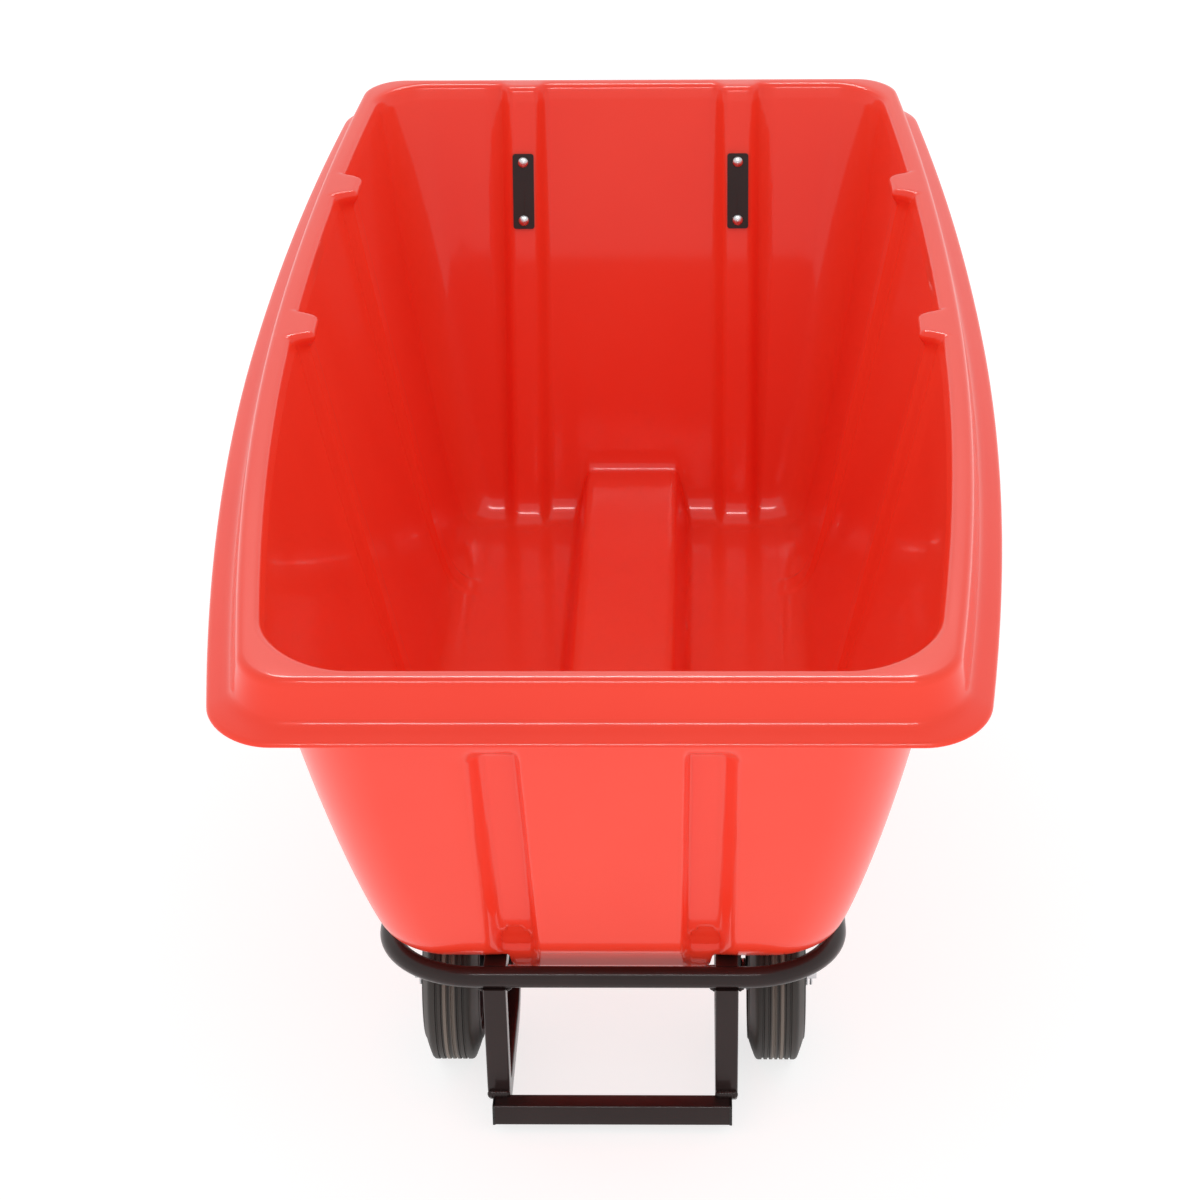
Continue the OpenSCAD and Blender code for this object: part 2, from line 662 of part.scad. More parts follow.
// push handle: one bent tube on two foot plates
web_out = rib_depth - wall;          // outer face of a rib's web, inward of the wall's inner face
module handle_path(d) {
    for (m = [0, 1]) mirror([m, 0, 0]) {
        translate([rear_rib_x, floor_y1, handle_height])
            rotate([-90, 0, 0]) cylinder(d = d, h = handle_y - handle_bend - floor_y1);
        translate([rear_rib_x - handle_bend, handle_y - handle_bend, handle_height])
            rotate_extrude(angle = 90) translate([handle_bend, 0]) circle(d = d);
    }
    translate([handle_bend - rear_rib_x, handle_y, handle_height])
        rotate([0, 90, 0]) cylinder(d = d, h = 2 * (rear_rib_x - handle_bend));
}

module handle_tube() color(steel) difference() {
    handle_path(handle_d);
    handle_path(handle_d - 2 * tube_wall);
    on_rear_wall(0, up_wall - 150) translate([-rear_rib_spacing, 0, web_out - foot_t]) cube([2 * rear_rib_spacing, 300, 300]);
}

module handle_grip() color([0.06, 0.06, 0.06]) difference() {
    translate([-grip_l / 2, handle_y, handle_height]) rotate([0, 90, 0]) cylinder(d = handle_d + 2 * grip_t, h = grip_l);
    translate([-grip_l, handle_y, handle_height]) rotate([0, 90, 0]) cylinder(d = handle_d, h = 2 * grip_l);
}

// a flat strip with rounded corners and two bolt holes, lying in the wall frame from z to z + t
module fixing_strip(x, z, t) on_rear_wall(x, up_wall) translate([0, 0, z]) difference() {
    r = 4;
    union() {
        translate([-plate_width / 2 + r, -plate_length / 2, 0]) cube([plate_width - 2 * r, plate_length, t]);
        translate([-plate_width / 2, -plate_length / 2 + r, 0]) cube([plate_width, plate_length - 2 * r, t]);
        for (a = [-1, 1], b = [-1, 1])
            translate([a * (plate_width / 2 - r), b * (plate_length / 2 - r), 0]) cylinder(r = r, h = t);
    }
    for (u = [-plate_pitch / 2, plate_pitch / 2])
        translate([0, u, -1]) cylinder(d = bolt_d + 2 * slack, h = t + 2);
}
module handle_foot_left() color(steel) fixing_strip(-rear_rib_x, web_out - foot_t, foot_t);
module handle_foot_right() color(steel) fixing_strip(rear_rib_x, web_out - foot_t, foot_t);
module backing_plate_left() color([0.1, 0.08, 0.08]) fixing_strip(-rear_rib_x, rib_depth, backing_t);
module backing_plate_right() color([0.1, 0.08, 0.08]) fixing_strip(rear_rib_x, rib_depth, backing_t);

module handle_bolt_places() {
    for (x = [-rear_rib_x, rear_rib_x], u = [-plate_pitch / 2, plate_pitch / 2])
        on_rear_wall(x, up_wall + u) children();
}
washer_h = 1.5;
nut_h = 6.5;
module handle_bolts() color([0.85, 0.85, 0.86]) handle_bolt_places() {
    low = web_out - foot_t - washer_h - nut_h - 3;
    translate([0, 0, low]) cylinder(d = bolt_d, h = rib_depth + backing_t - low + 1);
    translate([0, 0, rib_depth + backing_t])
        rotate_extrude() polygon([[0, 0], [head_d / 2, 0], for (a = [0:15:90]) [head_d / 2 * cos(a), 0.6 + 3.4 * sin(a)]]);
}
module handle_washers() color([0.75, 0.75, 0.77]) handle_bolt_places()
    translate([0, 0, web_out - foot_t - washer_h]) difference() {
        cylinder(d = 16, h = washer_h);
        translate([0, 0, -1]) cylinder(d = bolt_d, h = washer_h + 2);
    }
module handle_nuts() color([0.75, 0.75, 0.77]) handle_bolt_places()
    translate([0, 0, web_out - foot_t - washer_h - nut_h]) difference() {
        hex(11, nut_h);
        translate([0, 0, -1]) cylinder(d = bolt_d, h = nut_h + 2);
    }

module tub_bolt_places() {
    for (x = [-1, 1], p = tub_bolt_at) translate([x * p.x, p.y, 0]) children();
}
tub_washer_t = 2;
module tub_bolts() color([0.8, 0.8, 0.82]) tub_bolt_places() {
    translate([0, 0, floor_z + tub_washer_t]) hex(13, 5.3);
    translate([0, 0, under_z - 11]) cylinder(d = tub_bolt_d, h = floor_z + tub_washer_t - under_z + 12);
}
module tub_washers() color([0.75, 0.75, 0.77]) tub_bolt_places()
    translate([0, 0, floor_z]) difference() {
        cylinder(d = 28, h = tub_washer_t);
        translate([0, 0, -1]) cylinder(d = tub_bolt_d, h = tub_washer_t + 2);
    }
module tub_nuts() color([0.75, 0.75, 0.77]) tub_bolt_places()
    translate([0, 0, under_z - 8]) difference() {
        hex(13, 8);
        translate([0, 0, -1]) cylinder(d = tub_bolt_d, h = 10);
    }

tub();
frame_rail();
rear_rail_tube();
stringer_left();
stringer_right();
front_caster_tube();
rear_caster_tube();
middle_cross_tube();
rail_plugs();
leg_left();
leg_right();
nose_bar();
nose_bar_plugs();
frame_welds();
axle_hanger_left();
axle_hanger_right();
axle();
axle_washers();
axle_cotter_pins();
tyre_left();
tyre_right();
wheel_core_left();
wheel_core_right();
wheel_bearings_left();
wheel_bearings_right();
caster_mount_left();
caster_mount_right();
caster_plate_left();
caster_plate_right();
caster_bolts();
caster_nuts();
caster_fork_left();
caster_fork_right();
caster_race_left();
caster_race_right();
caster_axle_left();
caster_axle_right();
caster_tread_left();
caster_tread_right();
caster_core_left();
caster_core_right();
handle_tube();
handle_grip();
handle_foot_left();
handle_foot_right();
backing_plate_left();
backing_plate_right();
handle_bolts();
handle_washers();
handle_nuts();
tub_bolts();
tub_washers();
tub_nuts();
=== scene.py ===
import math

import bpy
import numpy as np
from mathutils import Matrix, Vector


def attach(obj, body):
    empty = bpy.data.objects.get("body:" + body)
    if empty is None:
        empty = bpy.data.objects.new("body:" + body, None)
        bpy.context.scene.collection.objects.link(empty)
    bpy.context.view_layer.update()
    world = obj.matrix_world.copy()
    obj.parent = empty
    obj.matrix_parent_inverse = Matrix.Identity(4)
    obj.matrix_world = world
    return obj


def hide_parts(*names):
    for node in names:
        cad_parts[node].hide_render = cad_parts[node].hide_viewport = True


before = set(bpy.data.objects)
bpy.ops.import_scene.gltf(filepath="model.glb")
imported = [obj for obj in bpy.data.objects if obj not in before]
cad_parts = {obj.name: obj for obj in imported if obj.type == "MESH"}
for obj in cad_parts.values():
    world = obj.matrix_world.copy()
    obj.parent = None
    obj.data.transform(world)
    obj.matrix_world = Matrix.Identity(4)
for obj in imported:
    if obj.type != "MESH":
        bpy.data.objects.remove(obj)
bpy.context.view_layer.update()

# ---- Where the truck is seen from -------------------------------------------------------------
# A person stands a few steps in front of the low dumping end and looks down into the tub. The
# eye is almost on the truck's centre line, a little to the right of it.
eye = Vector((0.098, -3.431, 1.974))
turn, tip, tilt = math.radians(1.14), math.radians(24.9), math.radians(0.5)
ahead = Vector((-math.sin(turn) * math.cos(tip), math.cos(turn) * math.cos(tip), -math.sin(tip)))
level = Vector((math.cos(turn), math.sin(turn), 0))
fall = ahead.cross(level)
right_hand = math.cos(tilt) * level + math.sin(tilt) * fall
upward = math.sin(tilt) * level - math.cos(tilt) * fall
camera = bpy.data.objects.new("camera", bpy.data.cameras.new("camera"))
bpy.context.collection.objects.link(camera)
camera.matrix_world = Matrix((
    (right_hand.x, upward.x, -ahead.x, eye.x),
    (right_hand.y, upward.y, -ahead.y, eye.y),
    (right_hand.z, upward.z, -ahead.z, eye.z),
    (0, 0, 0, 1)))
camera.data.sensor_width = 36
camera.data.lens = 90
camera.data.shift_x = -0.0375
bpy.context.scene.camera = camera

# ---- Floor and light --------------------------------------------------------------------------
# A plain white studio floor under an even sky, brighter round about than overhead, with two long
# softboxes that only show as the fine bright lines on the rounded edges.
floor_reach = 30
floor_corners = [(-floor_reach, -floor_reach, 0), (floor_reach, -floor_reach, 0),
                 (floor_reach, floor_reach, 0), (-floor_reach, floor_reach, 0)]
floor_mesh = bpy.data.meshes.new("studio_floor")
floor_mesh.from_pydata(floor_corners, [], [(0, 1, 2, 3)])
studio_floor = bpy.data.objects.new("studio_floor", floor_mesh)
bpy.context.collection.objects.link(studio_floor)
white_floor = bpy.data.materials.new("white floor")
white_floor.use_nodes = True
floor_paint = white_floor.node_tree.nodes["Principled BSDF"].inputs
floor_paint["Base Color"].default_value = (0.36, 0.36, 0.36, 1)
floor_paint["Roughness"].default_value = 0.9
floor_paint["Specular IOR Level"].default_value = 0.2
floor_paint["Emission Color"].default_value = (1, 1, 1, 1)
floor_paint["Emission Strength"].default_value = 0.76
floor_mesh.materials.append(white_floor)

sky = bpy.data.worlds.new("even sky")
sky.use_nodes = True
nodes, links = sky.node_tree.nodes, sky.node_tree.links
even_light = nodes["Background"].inputs
even_light["Color"].default_value = (1, 1, 1, 1)
place = nodes.new("ShaderNodeTexCoord")
apart = nodes.new("ShaderNodeSeparateXYZ")
links.new(place.outputs["Generated"], apart.inputs["Vector"])
overhead = nodes.new("ShaderNodeMapRange")
overhead.inputs["To Min"].default_value = 1.06
overhead.inputs["To Max"].default_value = 0.86
links.new(apart.outputs["Z"], overhead.inputs["Value"])
links.new(overhead.outputs["Result"], even_light["Strength"])
bpy.context.scene.world = sky
bpy.context.scene.view_settings.view_transform = "Standard"


def hang_softbox(name, place, aim):
    """A long lamp that faces the point aim and is seen only in what shines."""
    lamp = bpy.data.lights.new(name, "AREA")
    lamp.shape = "RECTANGLE"
    lamp.size = 1.8
    lamp.size_y = 0.45
    lamp.energy = 48
    softbox = bpy.data.objects.new(name, lamp)
    bpy.context.collection.objects.link(softbox)
    softbox.location = place
    softbox.rotation_euler = (Vector(aim) - Vector(place)).to_track_quat("-Z", "Y").to_euler()
    softbox.visible_diffuse = False


hang_softbox("front softbox", (0.1, -2.6, 3.3), (0, -0.5, 0.7))
hang_softbox("back softbox", (-0.2, 1.9, 3.5), (0, 0.3, 0.7))

# ---- Tub --------------------------------------------------------------------------------------
# One hollow moulding of red polyethylene, 6 mm thick. It is rotation moulded in one piece: rim
# with its hanging skirt, rim tabs, ribs, the channels of the dumping wall and the floor tunnel.
mm = 0.001
rim_ends = (-858, 787)
rim_widest_half, front_narrowing, rear_narrowing = 411, 64, 37
rim_front_height, rim_rise = 694, 147
floor_ends = (-589, 640)
floor_half = 241
floor_top = 218
tunnel_top = 288
ledge = 26
wall = 6
side_rib_at = (394, -43)
end_rib_at, end_rib_depth = 153.5, 18
channel_foot, channel_depth, pocket_depth = 212, 20, 13


def blend(a, b, share):
    return a + (b - a) * share


def ease(share):
    """From 0 to 1 with a soft start and a soft end."""
    share = np.clip(share, 0, 1)
    return share * share * (3 - 2 * share)


def hump(distance, flat, foot):
    """1 as far as flat from the middle, falling softly to 0 at foot."""
    return 1 - ease((np.abs(distance) - flat) / (foot - flat))


def higher(a, b, round_off):
    """The higher of two surfaces, with the crease between them rounded off."""
    near = np.maximum(round_off - np.abs(a - b), 0) / round_off
    return np.maximum(a, b) + near * near * round_off / 4


def rim_half(y):
    return rim_widest_half - np.where(y < 0, front_narrowing * (y / rim_ends[0]) ** 2,
                                      rear_narrowing * (y / rim_ends[1]) ** 2)


def rim_height(y):
    return rim_front_height + rim_rise * (y - rim_ends[0]) / (rim_ends[1] - rim_ends[0])


def wall_half(y, share):
    return blend(floor_half, rim_half(y) - ledge, max(share, 0) ** 0.78)


def run(stops, counts):
    """Evenly spaced points along each stretch between two stops."""
    return np.concatenate([np.linspace(a, b, n, endpoint=False)
                           for a, b, n in zip(stops[:-1], stops[1:], counts)])


# points of a ring along each stretch of an end wall, of a side wall and round a corner
across = (4, 18, 14, 5, 5, 14, 18, 4)
along = (14, 30, 16, 30, 26)
corner = 16
end_count, side_count = sum(across), sum(along)


def loop_of(share, out, lift, front_r, rear_r, face):
    """One closed ring of the tub: share of the height, mm outward and upward, corner radii, and
    which face it lies on: 1 the inside, -1 the outside, 0 the rim."""
    y_low = blend(floor_ends[0], rim_ends[0] + ledge, share) - out
    y_high = blend(floor_ends[1], rim_ends[1] - ledge, share) + out
    half = wall_half(0, share) + out

    def narrowing(y):
        return (wall_half(y, share) + out) / half

    def arc(start, end, count, sx, y_centre, r):
        angle = np.radians(np.linspace(start, end, count, endpoint=False))
        y = y_centre + r * np.sin(angle)
        return (sx * (half - r) + r * np.cos(angle)) * narrowing(y), y

    rear_x = (half - rear_r) * narrowing(y_high)
    front_x = (half - front_r) * narrowing(y_low)
    rear_stops = [rear_x, 186, 94, 62, 0, -62, -94, -186, -rear_x]
    front_stops = [-front_x, -142, -94, -62, 0, 62, 94, 142, front_x]
    side_y = run([y_high - rear_r, 444, 344, 7, -93, y_low + front_r], along)
    back_y = run([y_low + front_r, -93, 7, 344, 444, y_high - rear_r], along[::-1])
    rear = run(rear_stops, across)
    front = run(front_stops, across)
    parts = [
        arc(45, 90, 8, 1, y_high - rear_r, rear_r),
        (rear, np.full_like(rear, y_high)),
        arc(90, 180, corner, -1, y_high - rear_r, rear_r),
        (-wall_half(side_y, share) - out, side_y),
        arc(180, 270, corner, -1, y_low + front_r, front_r),
        (front, np.full_like(front, y_low)),
        arc(270, 360, corner, 1, y_low + front_r, front_r),
        (wall_half(back_y, share) + out, back_y),
        arc(0, 45, 8, 1, y_high - rear_r, rear_r)]
    x = np.concatenate([p[0] for p in parts])
    y = np.concatenate([p[1] for p in parts])
    part = np.repeat(np.arange(9), [len(p[0]) for p in parts])
    z = blend(floor_top, rim_height(y), share) + lift

    # ribs, tabs and channels push the wall inward
    inner = face >= 0
    tab = ease((share - 0.955) / 0.035) if inner else 0
    side = (part == 3) | (part == 7)
    rib = 0
    for centre in side_rib_at:
        flat, foot = (blend(17, 22.5, tab), blend(30, 40, tab)) if inner else (13, 25)
        rib = rib + hump(y - centre, flat, foot)
    rib_depth = blend(5, 13, ease(share / 0.5))
    tab_end = ledge - 7
    if face > 0:
        depth = rib_depth + 13 * tab
    elif face == 0:
        depth = 26 * np.clip((tab_end - out) / (tab_end - 12), 0, 1)
    else:
        depth = rib_depth * (1 - ease((share - 0.9) / 0.06))
    x = np.where(side, x - np.sign(x) * depth * rib, x)

    flat, foot = (18, 33) if inner else (14, 27)
    bar = hump(np.abs(x) - end_rib_at, flat, foot)
    if face > 0:
        fade = 1
    elif face == 0:
        fade = np.clip((tab_end - out) / (tab_end - 10), 0, 1)
    else:
        fade = 1 - ease((share - 0.88) / 0.07)
    y = np.where(part == 1, y - end_rib_depth * bar * fade, y)

    if face != 0:
        # a channel has a soft outer side and a crisp inner one
        away = np.abs(x) - blend(103, 108, (z - 245) / 355)
        skin_room = 10 if inner else 0
        groove = np.where(away > 0, hump(away, 13 + skin_room, 36 + skin_room),
                          hump(away, 18 + skin_room, 25 + skin_room))
        channel_top = 568 if inner else 556
        starts = ease((z - channel_foot) / 34)
        push = channel_depth * groove * starts * (1 - ease((z - channel_top) / 14))
        if not inner:
            # the arched pocket at the foot of each channel
            arch = 257 - 0.06 * (away - 2) ** 2
            pocket = hump(away - 2, 15, 20) * starts * (1 - ease((z - arch) / 5))
            push = push + pocket_depth * pocket
        y = np.where(part == 5, y + push, y)
    return np.stack([x, y, z], 1)


def raise_tunnel(points, face):
    """The tunnel along the floor, closed at both ends on the outside."""
    x, y, z = points[..., 0], points[..., 1], points[..., 2]
    if face > 0:
        below = 188
        crest = below + (tunnel_top - below) * hump(x, 62, 92) * ease((y + 566) / 24)
    else:
        below = 178
        crest = (below + (tunnel_top - wall - below) * hump(x, 60, 80)
                 * ease((y + 552) / 20) * (1 - ease((y - 622) / 16)))
        # a shallow keel hangs between the stringers, just behind the front loop
        z = z - 15 * hump(x, 108, 114) * hump(y + 570, 10, 16) * (z < floor_top)
    points[..., 2] = higher(z, crest, 30 if face > 0 else 8)
    return points


def wall_corner(share):
    return 100 * blend(0.62, 1, share)


rings = []


def add_ring(share, out, lift, face, radius=None):
    """Adds the next ring; without a radius its corners follow those of the wall."""
    front_r = radius or max(9, wall_corner(share) + out)
    rear_r = radius or max(9, wall_corner(share) * 0.7 + out)
    points = loop_of(share, out, lift, front_r, rear_r, face)
    if face != 0:
        points = raise_tunnel(points, face)
    rings.append(points)


# the inside, from the floor up to the rim
for share, out in ((0, -30), (0.0015, -24), (0.004, -18), (0.009, -12.5),
                   (0.016, -8), (0.026, -4.5), (0.038, -2), (0.052, -0.6)):
    add_ring(share, out, 0, 1)
for share in np.linspace(0.066, 0.93, 62):
    add_ring(share, 0, 0, 1)
for share in (0.945, 0.955, 0.965, 0.974):
    add_ring(share, 0, 0, 1)
for out, lift in ((0.2, -9), (1, -5.8), (2.8, -3), (5.6, -1.2), (9, -0.3), (12.5, 0)):
    add_ring(1, out, lift, 0)
# the flat of the rim, its outer edge, the skirt and its turned-out lip
add_ring(1, 16, 0, 0, 80)
for out, lift, radius in ((18.5, 0, 52), (21.5, -0.5, 52), (24, -2, 53), (25.6, -4.6, 54),
                          (26.4, -8, 55), (27.3, -14, 56), (28.4, -20, 57), (29.6, -26, 58),
                          (30.8, -32, 59), (31.8, -36, 60), (33, -39.2, 61), (35.2, -41.8, 62),
                          (38.4, -43.6, 63), (43, -45, 65), (48, -46.4, 67), (53, -48, 69),
                          (55.6, -49, 70), (57.2, -50.2, 71), (58, -51.8, 71), (57.6, -53.2, 71),
                          (56, -54, 70), (52, -53.4, 69), (46, -51.6, 66), (39, -49.6, 63),
                          (33, -47.4, 61), (28.6, -44, 59), (26.2, -39, 58), (24.4, -30, 57),
                          (22.4, -20, 55), (20.6, -12, 54)):
    add_ring(1, out, lift, 0, radius)
# under the ledge, back to the outside of the wall
for out, lift, radius in ((18.4, -8, 52), (14, -6.6, 80), (10, -6.6, None), (7.4, -9, None)):
    add_ring(1, out, lift, -1, radius)
# the outside, from under the rim down to the bottom
for share in np.linspace(0.975, 0.075, 60):
    add_ring(share, wall, 0, -1)
for share, out, lift in ((0.055, 5.6, 0), (0.04, 4.6, 0), (0.026, 2.6, 0), (0.016, 0, 0),
                         (0.008, -3.6, -0.6), (0.003, -8.4, -2.4), (0.001, -14, -4.4),
                         (0, -20, -5.6), (0, -26, -6)):
    add_ring(share, out, lift, -1)

columns = len(rings[0])
height_count = len(rings)


def floor_patch(ring, face):
    """Fills a ring with a smooth grid of points, whose border is the ring itself."""
    a, b = end_count + corner, side_count + corner
    rear = ring[0:a + 1]
    left = ring[a:a + b + 1]
    front = ring[a + b:2 * a + b + 1][::-1]
    right = np.concatenate([ring[2 * a + b:], ring[:1]])[::-1]
    u = np.linspace(0, 1, a + 1)[None, :, None]
    v = np.linspace(0, 1, b + 1)[:, None, None]
    grid = (1 - v) * rear[None] + v * front[None] + (1 - u) * right[:, None] + u * left[:, None]
    grid -= ((1 - u) * (1 - v) * rear[0] + u * (1 - v) * rear[-1]
             + (1 - u) * v * front[0] + u * v * front[-1])
    grid[..., 2] = floor_top if face > 0 else floor_top - wall
    return raise_tunnel(grid, face)


def patch_numbers(first_ring, first_new):
    """The place in the list of all points of each point in a floor patch."""
    a, b = end_count + corner, side_count + corner
    number = np.zeros((b + 1, a + 1), int)
    number[0, :] = first_ring + np.arange(a + 1)
    number[:, a] = first_ring + a + np.arange(b + 1)
    number[b, ::-1] = first_ring + a + b + np.arange(a + 1)
    number[::-1, 0] = first_ring + (2 * a + b + np.arange(b + 1)) % columns
    number[1:b, 1:a] = first_new + np.arange((a - 1) * (b - 1)).reshape(b - 1, a - 1)
    return number


def patch_faces(number, upward_side):
    quads = np.stack([number[:-1, :-1], number[:-1, 1:], number[1:, 1:], number[1:, :-1]], -1)
    quads = quads.reshape(-1, 4)
    return quads if upward_side else quads[:, ::-1]


inside_floor = floor_patch(rings[0], 1)
outside_floor = floor_patch(rings[-1], -1)
body_points = np.concatenate(rings)
inside_new = inside_floor[1:-1, 1:-1].reshape(-1, 3)
outside_new = outside_floor[1:-1, 1:-1].reshape(-1, 3)
all_points = np.concatenate([body_points, inside_new, outside_new]) * mm
row = np.arange(height_count - 1)[:, None] * columns
here = np.arange(columns)[None]
after = (here + 1) % columns
next_row = row + columns
wall_faces = np.stack([row + here, next_row + here, next_row + after, row + after], -1)
wall_faces = wall_faces.reshape(-1, 4)
inside_numbers = patch_numbers(0, len(body_points))
outside_numbers = patch_numbers((height_count - 1) * columns, len(body_points) + len(inside_new))
all_faces = np.concatenate([wall_faces, patch_faces(inside_numbers, True),
                            patch_faces(outside_numbers, False)])


def make_piece(name, points, faces, sharp_angle=None):
    mesh = bpy.data.meshes.new(name)
    mesh.from_pydata(np.asarray(points).tolist(), [], [list(map(int, face)) for face in faces])
    mesh.validate()
    mesh.polygons.foreach_set("use_smooth", [True] * len(mesh.polygons))
    if sharp_angle:
        mesh.set_sharp_from_angle(angle=math.radians(sharp_angle))
    piece = bpy.data.objects.new(name, mesh)
    bpy.context.collection.objects.link(piece)
    return piece


tub = make_piece("tub_moulding", all_points, all_faces)


def new_finish(name, roughness):
    """A new material, and the inputs of its shader."""
    finish = bpy.data.materials.new(name)
    finish.use_nodes = True
    surface = finish.node_tree.nodes["Principled BSDF"].inputs
    surface["Roughness"].default_value = roughness
    return finish, surface


def cloudy(finish, scale, detail):
    """An uneven pattern that stays fixed to the piece."""
    nodes, links = finish.node_tree.nodes, finish.node_tree.links
    place = nodes.new("ShaderNodeTexCoord")
    cloud = nodes.new("ShaderNodeTexNoise")
    cloud.inputs["Scale"].default_value = scale
    cloud.inputs["Detail"].default_value = detail
    links.new(place.outputs["Object"], cloud.inputs["Vector"])
    return cloud.outputs["Fac"]


def tint(finish, pattern, dark, pale, spread=(0.0, 1.0)):
    """Colours the finish from dark to pale, as the pattern has it."""
    nodes, links = finish.node_tree.nodes, finish.node_tree.links
    shades = nodes.new("ShaderNodeValToRGB")
    for element, position, colour in zip(shades.color_ramp.elements, spread, (dark, pale)):
        element.position = position
        element.color = (*colour, 1)
    links.new(pattern, shades.inputs["Fac"])
    links.new(shades.outputs["Color"], nodes["Principled BSDF"].inputs["Base Color"])


def roughen(finish, pattern, strength, depth):
    """Lets the pattern stand out from the surface, depth metres high."""
    nodes, links = finish.node_tree.nodes, finish.node_tree.links
    relief = nodes.new("ShaderNodeBump")
    relief.inputs["Strength"].default_value = strength
    relief.inputs["Distance"].default_value = depth
    links.new(pattern, relief.inputs["Height"])
    links.new(relief.outputs["Normal"], nodes["Principled BSDF"].inputs["Normal"])


red_plastic, skin = new_finish("red moulded polyethylene", 0.32)
skin["Specular IOR Level"].default_value = 0.15
skin["Coat Weight"].default_value = 0.45
skin["Coat Roughness"].default_value = 0.06
tint(red_plastic, cloudy(red_plastic, 3, 3), (0.93, 0.046, 0.020), (0.96, 0.056, 0.025), (0.3, 0.7))
roughen(red_plastic, cloudy(red_plastic, 9, 2), 0.12, 0.004)
tub.data.materials.append(red_plastic)
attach(tub, "chassis")
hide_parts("tub")

# ---- Dark paint of the frame ------------------------------------------------------------------
# All of the steel frame is painted after welding, in a glossy brown-black. The tubes, hangers,
# mounting plates and strap plates keep their sawn and bent shape and only get the paint.
dark_paint, coat = new_finish("glossy brown-black paint", 0.3)
coat["Specular IOR Level"].default_value = 0.18
coat["Coat Weight"].default_value = 0.22
coat["Coat Roughness"].default_value = 0.05
tint(dark_paint, cloudy(dark_paint, 14, 4), (0.016, 0.0085, 0.008), (0.026, 0.015, 0.014))
orange_peel = cloudy(dark_paint, 160, 2)
roughen(dark_paint, orange_peel, 0.08, 0.0006)


def finish_node(name, material, edge=0.0):
    """A bought or bent part keeps its shape: it gets its finish and, where edge is given in
    metres, softly broken edges."""
    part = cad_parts[name]
    part.data.materials.clear()
    part.data.materials.append(material)
    if edge:
        weld = part.modifiers.new("one skin", "WELD")
        weld.merge_threshold = 0.00001
        soften = part.modifiers.new("broken edges", "BEVEL")
        soften.width = edge
        soften.segments = 2
        soften.limit_method = "ANGLE"
        soften.angle_limit = math.radians(40)
        soften.harden_normals = True


for name in ("frame_rail", "rear_rail_tube"):
    finish_node(name, dark_paint)
for name in ("axle_hanger_left", "axle_hanger_right", "caster_mount_left", "caster_mount_right",
             "handle_foot_left", "handle_foot_right"):
    finish_node(name, dark_paint, 0.0006)

# ---- Stringers and cross tubes ----------------------------------------------------------------
# One inch square steel tube with rounded corners, sawn to length and welded flush between the
# bent side rails. The tub is bolted down on them.
box_side, box_corner = 25.4, 2.8
cross_tube_half = 246
string_x, string_mid = 128.7, 199.3


def sweep(name, path, section, level_axis=(1.0, 0, 0)):
    """Drags a flat outline along a path of points; level_axis stays across the path."""
    path = np.asarray(path, float)
    section = np.asarray(section, float)
    tangent = np.gradient(path, axis=0)
    tangent /= np.linalg.norm(tangent, axis=1)[:, None]
    side = np.array(level_axis, float)
    side = side - (tangent @ side)[:, None] * tangent
    side /= np.linalg.norm(side, axis=1)[:, None]
    up = np.cross(tangent, side)
    sideways, upward_part = section[None, :, :1], section[None, :, 1:]
    points = path[:, None] + sideways * side[:, None] + upward_part * up[:, None]
    rows, sides = points.shape[:2]
    faces = []
    for k in range(rows - 1):
        for i in range(sides):
            j = (i + 1) % sides
            faces.append((k * sides + i, k * sides + j, (k + 1) * sides + j, (k + 1) * sides + i))
    faces.append(tuple(range(sides))[::-1])
    faces.append(tuple((rows - 1) * sides + i for i in range(sides)))
    return make_piece(name, points.reshape(-1, 3) * mm, faces, 50)


def box_section():
    """The outline of the square tube, with five steps round each corner."""
    outline = []
    half = box_side / 2 - box_corner
    for quarter, (cx, cy) in enumerate(((half, half), (-half, half), (-half, -half), (half, -half))):
        for k in range(6):
            angle = math.radians(90 * quarter + 18 * k)
            outline.append((cx + box_corner * math.cos(angle), cy + box_corner * math.sin(angle)))
    return outline


def lay_square_tube(name, start, end, node, across_axis):
    start, end = np.array(start, float), np.array(end, float)
    path = [blend(start, end, share) for share in (0, 0.001, 0.5, 0.999, 1)]
    tube = sweep(name, path, box_section(), across_axis)
    tube.data.materials.append(dark_paint)
    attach(tube, "chassis")
    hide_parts(node)


for hand, x in (("left", -string_x), ("right", string_x)):
    lay_square_tube("stringer_tube_" + hand, (x, -596, string_mid), (x, 64.3, string_mid),
                    "stringer_" + hand, (1, 0, 0))
for name, y in (("middle_cross_tube", 77), ("front_caster_tube", 418), ("rear_caster_tube", 538)):
    lay_square_tube(name + "_piece", (-cross_tube_half, y, string_mid),
                    (cross_tube_half, y, string_mid), name, (0, 1, 0))

# ---- Bent legs and nose bar -------------------------------------------------------------------
# Each leg is one square tube bent like a sledge runner: down from the front loop, back along the
# ground past the wheel and up to its stringer. The nose bar is welded across their toes.
toe_radius, heel_radius = 32, 72
lean, rise = math.radians(8), math.radians(60)
run_start, run_end, run_height = -547.3, -417.3, 24.7
arm_length = 140
nose_bar_half, nose_bar_y = 133.5, -600.3


def bend(centre, radius, start, end, count):
    return [(centre[0] + radius * math.cos(angle), centre[1] + radius * math.sin(angle))
            for angle in np.linspace(start, end, count)]


